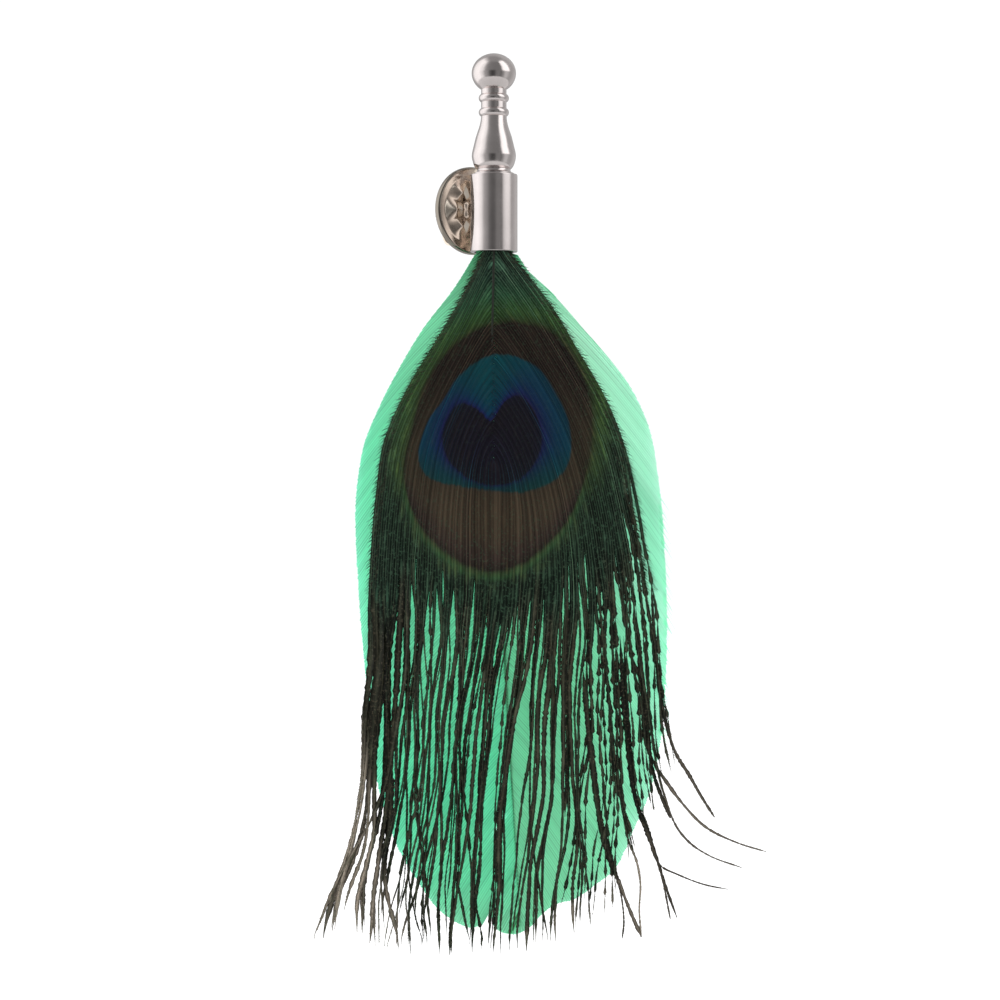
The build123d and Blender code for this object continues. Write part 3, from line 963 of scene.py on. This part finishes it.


# %% [markdown]
# One material colours every barb from the facts on its points. `ring` picks bronze, teal or the
# green arc, `heart` the dark middle, and `loose` turns the strands black. Where `open` says a
# strand hangs clear of the green sheet, it is painted brown, a painted glow of light from behind.
# Painted light and shade across each barb from `across`, and painted glints as tiny specks and
# short dashes, stand for the barbules' own glitter, which is too fine to build inside the vane.

# %% The colours that a barb runs through
def vane_colours(tree, ring, high, arc_end):
    """Bronze, then green, outwards from the teal: below the eye, beside it and above it."""
    low = painted(tree, ring, [
        (0.252, 54, 45, 34), (0.38, 56, 47, 36), (0.45, 46, 36, 32), (0.478, 34, 29, 25),
        (0.49, 45, 64, 37), (0.503, 39, 66, 39), (0.525, 28, 42, 29), (0.56, 19, 29, 21),
        (0.62, 12, 25, 17), (0.8, 11, 23, 16),
    ])
    side_zone = painted(tree, ring, [
        (0.252, 47, 40, 30), (0.42, 46, 40, 29), (0.47, 38, 40, 27), (0.5, 44, 54, 30),
        (0.54, 42, 60, 32), (0.61, 24, 36, 26), (0.7, 12, 26, 18), (0.85, 11, 24, 17),
    ])
    top = painted(tree, ring, [
        (0.252, 29, 22, 19), (0.46, 27, 21, 18), (0.49, 38, 54, 26), (0.55, 42, 70, 34),
        (0.63, 30, 64, 42), (0.73, 21, 42, 33), (0.85, 18, 30, 25),
    ])
    lower = blend_colours(tree, arc_end, low, side_zone)
    return blend_colours(tree, stretched(tree, high, -0.2, 0.6), lower, top)


def eye_colours(tree, high):
    """The heart and the teal round it, which turns to blue above the heart but not at its foot."""
    heart = times(tree, fact(tree, "heart"), 0.4)
    inner_high = painted(tree, heart, [
        (0, 19, 15, 28), (0.3, 19, 16, 22), (0.385, 18, 16, 27), (0.403, 18, 20, 62),
        (0.43, 13, 30, 68), (0.5, 6, 42, 66), (0.65, 3, 49, 62), (1, 3, 53, 60),
    ])
    inner_low = painted(tree, heart, [
        (0, 19, 15, 28), (0.385, 18, 16, 24), (0.4, 15, 24, 50), (0.42, 10, 38, 48),
        (0.5, 10, 46, 46), (1, 10, 52, 50),
    ])
    return blend_colours(tree, stretched(tree, high, -0.6, -0.2), inner_low, inner_high)


def flash_colours(tree, ring, barb, hanging, arc_end):
    """What the lit barbules flash in: olive and green in the vane, brown on the loose strands."""
    olive = [(0.3, 92, 78, 58), (0.47, 92, 78, 54)]
    above = [(0.52, 92, 118, 56), (0.62, 84, 128, 86), (0.8, 92, 142, 114)]
    below = [(0.52, 78, 96, 56), (0.58, 54, 80, 60), (0.8, 58, 94, 72)]
    flash_low, flash_high = painted(tree, ring, olive + below), painted(tree, ring, olive + above)
    flash_green = blend_colours(tree, arc_end, flash_low, flash_high)
    flash_brown = painted(tree, barb, [(0, 70, 70, 54), (1, 94, 90, 70)])
    return blend_colours(tree, hanging, flash_green, flash_brown)


# %% [markdown]
# The material mixes those colours by the facts on the points. Each share is a grey ramp, from 0
# where the one colour shows to 1 where the other does.

# %% Iridescent barb material
def eye_barb():
    made, tree, face = new_material("eye_barb", 0.45, 0.12)
    barb, loose, high, across = [fact(tree, name) for name in ("barb", "loose", "high", "across")]
    ring = times(tree, fact(tree, "ring"), 0.25)
    arc_end = stretched(tree, high, -0.8, -0.4)
    vane = vane_colours(tree, ring, high, arc_end)
    strand = painted(tree, barb, [(0, 20, 22, 16), (0.8, 38, 37, 28)])
    hanging = greys(tree, loose, [(0.3, 0), (1, 0.85)])
    fringe = blend_colours(tree, hanging, vane, strand)
    # Painted light: strands clear of the green sheet are painted brown, standing for light from behind
    # shining through their barbules.
    backlight_share = times(tree, fact(tree, "open"), 0.95)
    backlit_brown = painted(tree, barb, [(0, 80, 74, 65), (0.8, 122, 113, 102)])
    outer = blend_colours(tree, backlight_share, fringe, backlit_brown)

    # Inside the teal's edge the eye's own colours show. Every barb has its own shade of them.
    inside = greys(tree, ring, [(0.245, 1), (0.252, 0)])
    eye = blend_colours(tree, inside, outer, eye_colours(tree, high))
    tint = greys(tree, barb, [(0, 0.62), (0.8, 1.28), (1, 1.9)])
    uneven = greys(tree, ring, [(0.2, 0.45), (0.27, 1)])
    colour = blend_colours(tree, uneven, eye, tint, "MULTIPLY")

    # Painted light and shade: each barb is painted bright along its quill and dark where it dips under its
    # neighbour.
    painted_ridge_shading = greys(tree, across, [(0, 0.35), (0.5, 0.8), (1, 1.9)])
    deep = greys(tree, ring, [(0.24, 0.2), (0.26, 0.45), (0.47, 0.55), (0.56, 1)])
    ridge_shaded = blend_colours(tree, deep, colour, painted_ridge_shading, "MULTIPLY")

    # Painted glints: barbules that catch the light are painted as fine specks, most of them outside the eye.
    speck_scale = 3300
    grain = noise(tree, node(tree, "TexCoord").outputs["Object"], speck_scale, 1)
    specks = greys(tree, grain, [(0.56, 0), (0.68, 1)])
    where = greys(tree, ring, [(0.25, 0.1), (0.3, 0.22), (0.49, 0.3), (0.56, 0.62)])
    spark = painted(tree, loose, [(0.2, 50, 76, 58), (1, 74, 68, 54)])
    dotted = blend_colours(tree, times(tree, specks, where), ridge_shaded, spark)

    # Painted glints: lit barbules are painted as short dashes along the barbs, olive near the eye and paler
    # outside it.
    dashes_between_barbs, dashes_down = 3.7, 0.28
    from_barb = times(tree, fact(tree, "line"), dashes_between_barbs)
    from_top = times(tree, fact(tree, "down"), dashes_down)
    run = node(tree, "CombineXYZ", from_barb, from_top).outputs[0]
    lit = greys(tree, noise(tree, run, 1, 3), [(0.5, 0), (0.68, 1)])
    dash_share = greys(tree, ring, [(0.25, 0.06), (0.3, 0.16), (0.46, 0.2), (0.54, 0.7)])
    flash = times(tree, across, times(tree, lit, dash_share))
    flash_colour = flash_colours(tree, ring, barb, hanging, arc_end)
    tree.links.new(blend_colours(tree, flash, dotted, flash_colour), face["Base Color"])
    return made


# %% Both halves of the peacock feather
def free_left(share):
    return 40.0 + 1.5 * rise(share, 0.55, 0.35)


def free_right(share):
    return 41.0 - 4.0 * rise(share, 0.2, 0.4) - 5.5 * rise(share, 0.65, 0.25)


eye_material = eye_barb()
left_piece, left_path, left_width, left_share = peacock_barbs(
    "peacock_barbs_left", -1, peacock_left, 46, free_left, 1.2, 21
)
right_piece, right_path, right_width, right_share = peacock_barbs(
    "peacock_barbs_right", 1, peacock_right, 58, free_right, 0.42, 35
)
for barbs in (left_piece, right_piece):
    dress(barbs, eye_material, "peacock_feather")

# %% [markdown]
# Every barb carries barbules, hairs about half a millimetre long that lean towards its tip. In
# the middle of the vane they lie flat and only colour it. Along the sides and on the loose
# strands they stand out and make the edges look like tiny ferns, so those get real hairs.

# %% Barbules
hairs_long_to = 44.0


def barbules(name, hairs_side, path, width, share, wanted, spacing, long, seed):
    """Hairs on both edges of the strands. wanted tells where, from share and down."""
    luck = np.random.default_rng(seed)
    along = unit(np.gradient(path, axis=1))
    run = np.cumsum(np.linalg.norm(np.gradient(path, axis=1), axis=-1), axis=1)
    starts, headings, lengths = [], [], []
    for i in range(len(path)):
        outermost = share[i, 0] > 0.9
        for place in np.arange(0.5, run[i, -1], spacing * (0.6 if outermost else 1)):
            k = int(np.searchsorted(run[i], place))
            if k >= path.shape[1] - 3 or luck.random() > wanted(share[i, 0], path[i, k, 1]):
                continue
            hand = hairs_side if outermost else luck.choice([-1, 1])
            lean = np.radians(luck.uniform(26, 50) if outermost else luck.uniform(18, 38)) * hand
            out, down = along[i, k, 0], along[i, k, 1]
            turned = [out * np.cos(lean) + down * np.sin(lean), down * np.cos(lean) - out * np.sin(lean), 0]
            starts.append(path[i, k] + np.array([0, 0, luck.normal(0, 0.05)]))
            headings.append(np.array(turned) + np.array([0, 0, luck.normal(0, 0.15)]))
            grown = 0.4 + 0.6 * min(width[i, k] / 0.5, 1.3)
            if outermost and path[i, k, 1] < hairs_long_to:
                grown = 2.2
            lengths.append(long * luck.uniform(0.6, 1.25) * grown)
    t = np.linspace(0, 1, 3)[None, :, None]
    grow = np.array(headings)[:, None, :] * np.array(lengths)[:, None, None] * t
    hairs = np.array(starts)[:, None, :] + grow
    hair_width = 0.1 * (1 - 0.8 * t[..., 0]) * np.ones((len(hairs), 3))
    facts = {"barb": 0.3 + 0.7 * luck.random((len(hairs), 1)), "loose": 1.0, **place_facts(hairs)}
    return strands(name, hairs, hair_width, hair_width * 0.2, 0, facts)


def ragged_left(share, down):
    return max(0.95 * rise(share, 0.85, 0.1), 0.75 if down > 44 else 0)


def ragged_right(share, down):
    free = 34 if share > 0.8 else 44
    fringe = rise(share, 0.3, 0.3) if down > free else 0
    return max(0.95 * rise(share, 0.88, 0.08), fringe * 0.9)


hairs_left = barbules("barbules_left", -1, left_path, left_width, left_share, ragged_left, 0.34, 0.5, 8)
hairs_right = barbules("barbules_right", 1, right_path, right_width, right_share, ragged_right, 0.38, 0.5, 9)
for hairs in (hairs_left, hairs_right):
    dress(hairs, eye_material, "peacock_feather")


# %% [markdown]
# The quill of a barb is a smooth rib with a shine of its own. Seen from the front it is the fine
# bright line along each strand, and a material alone can't draw it so sharply. So each barb gets
# a second, much thinner strand just in front of it, coloured paler than the barb in most places
# as a painted highlight.

# %% The barbs' quills
def barb_quills(name, path, thick, seed, every=2):
    """A fine quill on the front of each barb, with fewer steps than the barb has."""
    luck = np.random.default_rng(seed)
    chosen = path[:, ::every].copy()
    chosen[..., 2] -= 0.07
    count, steps = chosen.shape[:2]
    t = np.linspace(0, 1, steps)[None, :]
    width = thick * luck.uniform(0.6, 1.3, (count, 1)) * (1 - 0.6 * t)
    facts = {"barb": luck.random((count, 1)), **place_facts(chosen)}
    return strands(name, chosen, width, width * 0.4, 0, facts)


def quill_material():
    made, tree, face = new_material("barb_quill", 0.4, 0.15)
    zone = times(tree, fact(tree, "ring"), 0.25)
    colour = painted(tree, zone, [
        (0, 16, 15, 24), (0.13, 12, 24, 44), (0.24, 8, 60, 68), (0.26, 60, 50, 40),
        (0.48, 58, 50, 42), (0.52, 52, 80, 56), (0.7, 70, 92, 72),
    ])
    # Painted highlight: a few quills are painted very bright, as fine lines of shine.
    tint = greys(tree, fact(tree, "barb"), [(0, 0.45), (0.88, 0.8), (0.95, 1.4), (1, 2.2)])
    tree.links.new(blend_colours(tree, 1, colour, tint, "MULTIPLY"), face["Base Color"])
    return made


quill_finish = quill_material()
quills_left = barb_quills("barb_quills_left", left_path, 0.055, 12)
quills_right = barb_quills("barb_quills_right", right_path, 0.055, 13)
for quills in (quills_left, quills_right):
    dress(quills, quill_finish, "peacock_feather")


# %% [markdown]
# At the right ten long strands stand apart and curl outwards. They are few and easy to follow,
# so each is drawn through its own points, and only its twist and its rough edge are random.

# %% The curled strands at the right
def loose_strands(name, rows, widths, seed, steps=150):
    """Single strands along chosen (out, down) points, twisted like the right of the fringe."""
    luck = np.random.default_rng(seed)
    paths = []
    for row in rows:
        out, down = np.array(row, dtype=float).T
        run = np.concatenate([[0], np.cumsum(np.hypot(np.diff(out), np.diff(down)))])
        place = np.linspace(0, run[-1], steps)
        line = [through(np.stack([run, out], 1))(place), through(np.stack([run, down], 1))(place)]
        paths.append(np.stack([*line, np.full(steps, peacock_depth)], axis=-1))
    path = np.array(paths)
    count = len(rows)
    t = np.linspace(0, 1, steps)[None, :]
    thick, thin = np.array(widths)[:, :1], np.array(widths)[:, 1:]
    wide = (thick + (thin - thick) * rise(t, 0.55, 0.4)) * rise(t, -0.02, 0.15)
    wide *= 1 - 0.6 * rise(t, 0.96, 0.04)
    wide *= 1 + 0.15 * luck.normal(0, 1, (count, steps))
    reach = np.cumsum(np.linalg.norm(np.gradient(path, axis=1), axis=-1), axis=1)
    twist = 0.7 * np.sin(reach / luck.uniform(2.6, 4.2, (count, 1)))
    path[..., 2] += 0.3 * np.sin(reach / 9 + luck.uniform(0, 6, (count, 1))) * t
    facts = {"barb": luck.random((count, 1)), "loose": 1.0, **place_facts(path)}
    return strands(name, path, wide, wide * 0.18, twist, facts)


curled = loose_strands(
    "peacock_curls",
    [
        [(20.6, 43), (21.4, 53.4), (22.5, 60.8), (24.1, 65.8), (25.9, 68.7), (27.5, 71.5), (29.4, 74.5)],
        [(18.6, 46), (19.4, 57), (20.6, 65.9), (23.1, 69.9), (25.2, 72.7), (28, 75.6), (32.4, 78),
         (36.6, 79.5)],
        [(19, 50), (20.6, 62), (22.4, 70.8), (24.8, 76.4), (26.3, 78), (28.5, 79.5), (33.2, 81.5)],
        [(17, 50), (17.9, 64), (19, 72.7), (20.3, 76.1), (22.3, 80.9), (24.4, 82), (28.2, 83.6),
         (31.4, 84.4)],
        [(16.5, 50), (17.6, 64), (19, 72.7), (20.3, 76.1), (21.6, 79.8), (22.9, 83.8), (24.4, 87.9)],
        [(18.6, 72), (20.4, 76.4), (21.6, 79.8), (22.4, 82.6), (23, 85.5), (23.5, 88.1)],
        [(18.8, 48), (20, 60), (21.4, 69.4), (22.4, 72), (23.4, 74.4)],
        [(11.6, 54), (12.8, 65.5), (14.7, 77.5), (15.6, 80.4), (16.7, 83.2), (18.1, 86.8), (19.6, 90.3)],
        [(15, 58), (16.8, 72.1), (17.9, 77.5), (18.9, 80.1), (19.4, 82.8), (19.3, 86.8), (19.6, 90.3)],
        [(13.6, 71), (14.7, 77.5), (16.4, 82.6), (17, 85.5), (17.2, 88.8), (17, 90.4)],
    ],
    [(0.6, 0.45), (0.52, 0.26), (0.34, 0.25), (0.5, 0.2), (0.85, 0.35), (0.3, 0.3), (0.65, 0.5),
     (0.95, 0.5), (0.34, 0.3), (0.3, 0.28)],
    5,
)
dress(curled, eye_material, "peacock_feather")

# %% [markdown]
# The peacock feather's shaft is dark and thin, and most of it hides between the barbs, which
# grow from its two sides. So it is made as one tapered tube in front of them and a thicker one
# behind.

# %% The peacock feather's shaft
peacock_line = through([(-5, 0), (0, 0), (10, -0.2), (30, -0.3), (40, -0.3)])
peacock_shaft_depth = through([(-5, -0.6), (0, -0.62), (8, -0.64), (13, -0.5), (30, -0.48)])
brown_horn = horn("brown_horn", paint(16, 22, 16), paint(30, 34, 24))
peacock_shaft = tapered_shaft("peacock_shaft", peacock_line, -5, 28.5, 0.17, 0.12, peacock_shaft_depth)
back_shaft_depth = through([(-5, -0.2), (6, -0.2), (9, -0.26), (30, -0.26)])
back_shaft = tapered_shaft("peacock_shaft_back", peacock_line, -5, 28.5, 0.3, 0.24, back_shaft_depth)
for shaft in (peacock_shaft, back_shaft):
    dress(shaft, brown_horn, "peacock_feather")

# %% [markdown]
# ## Metal
#
# The finial and the ferrule are polished and nickel plated, a little warm. The solids are
# already turned to shape, so they stay and only get a finish: almost a mirror, with faint
# polishing marks and a slightly softer shine in places, as handled plate has.

# %% Nickel finishes
cloud_scale = 450
mark_scale = 2600


def nickel(name, colour, roughness, streak):
    """Plated metal with cloudy polish and fine marks, and painted shade on a clutch cup's rim, fold and
    inside. streak is the marks' height in metres.
    """
    made, tree, face = new_material(name, roughness)
    face["Metallic"].default_value = 1.0
    place = node(tree, "TexCoord").outputs["Object"]
    clouds = noise(tree, place, cloud_scale, 4)
    shade = ramp(tree, clouds, [(0.3, tuple(0.9 * c for c in colour[:3]) + (1,)), (0.7, colour)])
    # Painted shade: the cup's rim, fold and inside are painted darker than its pressed face.
    shaded_wall = greys(tree, fact(tree, "shaded_wall"), [(0, 1), (1, 0.4)])
    tree.links.new(blend_colours(tree, 1, shade, shaded_wall, "MULTIPLY"), face["Base Color"])
    polish = stretched(tree, clouds, 0.3, 0.7, roughness * 0.7, roughness * 1.4)
    tree.links.new(polish, face["Roughness"])
    bump = node(tree, "Bump")
    bump.inputs["Strength"].default_value = 0.3
    bump.inputs["Distance"].default_value = streak
    tree.links.new(noise(tree, place, mark_scale, 2), bump.inputs["Height"])
    tree.links.new(bump.outputs[0], face["Normal"])
    return made


bright_nickel = nickel("bright_nickel", (0.82, 0.755, 0.74, 1), 0.14, 0.000002)
clutch_nickel = nickel("clutch_nickel", (0.9, 0.8, 0.68, 1), 0.16, 0.000004)
finishes = {"finial": bright_nickel, "ferrule": bright_nickel, "clutch_wings": clutch_nickel}
for name, finish in finishes.items():
    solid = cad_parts[name]
    solid.data.materials.clear()
    solid.data.materials.append(finish)
    print(f"{name}: {finish.name}")

# %% [markdown]
# The clutch's cup is stamped from thin sheet. Its face has a raised boss for the post and, round
# it, a ring of pressed creases that stiffen it. They are what makes it glitter, so the face is
# made again here with its creases: a profile turned about the post, whose raised lobes rise and
# fall with the angle.

# %% The clutch's cup
cup_low, cup_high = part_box("clutch_cup")
cup_middle = (Vector(cup_low) + Vector(cup_high)) / 2
post_way = Vector((cup_middle.x, cup_middle.y, 0)).normalized()
cup_tall = 0.98
cup_out = (cup_high[2] - cup_low[2]) / 2 / MM
face_from_post = cup_middle.length / MM - cup_tall / 2
crease_count = 8
sheet = 0.3
hole = 0.6
bend = 0.28
lip_inside, wall_inside = 4.85, 5.45


def cup_point(radius, along, turn):
    """A point of the cup in metres, from its distance to the post, its place along it and its angle."""
    up = Vector((0, 0, 1))
    side = post_way.cross(up)
    spoke = up * math.cos(turn) + side * math.sin(turn)
    return (post_way * (face_from_post + along) + spoke * radius) * MM


def face_height(radius, turn):
    """How far the pressed face stands up from the rim's plane, in millimetres."""
    boss = 0.4 * float(rise(2.0 - radius, 0, 0.8))
    crown = max(0, 1 - abs(radius - 3.1) / 1.6) ** 0.9
    ridge = 0.5 + math.asin(0.96 * math.cos(crease_count * turn)) / math.pi
    return boss + crown * (0.1 + 0.45 * ridge)


def cup_mesh(sectors=256):
    """The cup as one closed profile turned about the post: creased face, rim, folded lip and inside."""
    face_radii = np.concatenate([[hole, 0.9], np.linspace(1.2, 5, 34), [5.2, 5.4]])
    turns = np.linspace(0, math.pi / 2, 6)
    rim = [(cup_out - bend * (1 - math.sin(a)), bend * (1 - math.cos(a))) for a in turns]
    fold = [(cup_out - bend * (1 - math.cos(a)), cup_tall - bend * (1 - math.sin(a))) for a in turns]
    inside = [(lip_inside, cup_tall), (lip_inside, cup_tall - sheet), (wall_inside, cup_tall - sheet)]
    inside += [(wall_inside, sheet), (hole, sheet)]
    profile = [(radius, None) for radius in face_radii] + rim + fold + inside
    points = []
    for radius, along in profile:
        for k in range(sectors):
            turn = 2 * math.pi * k / sectors
            place = -face_height(radius, turn) if along is None else along
            points.append(cup_point(radius, place, turn))
    faces = []
    for i in range(len(profile)):
        near, far = i * sectors, (i + 1) % len(profile) * sectors
        for k in range(sectors):
            beside = (k + 1) % sectors
            faces.append((near + k, near + beside, far + beside, far + k))
    # Marks the rim, fold and inside, which get painted shade.
    shaded_wall = np.repeat([0.0 if along is None else 1.0 for radius, along in profile], sectors)
    print("clutch cup:", 2 * len(faces), "triangles, face at", round(face_from_post, 2), "mm")
    return new_piece("clutch_cup_pressed", points, faces, {"shaded_wall": shaded_wall}, sharp=70)


dress(cup_mesh(), clutch_nickel, "clutch_cup", body="clutch")
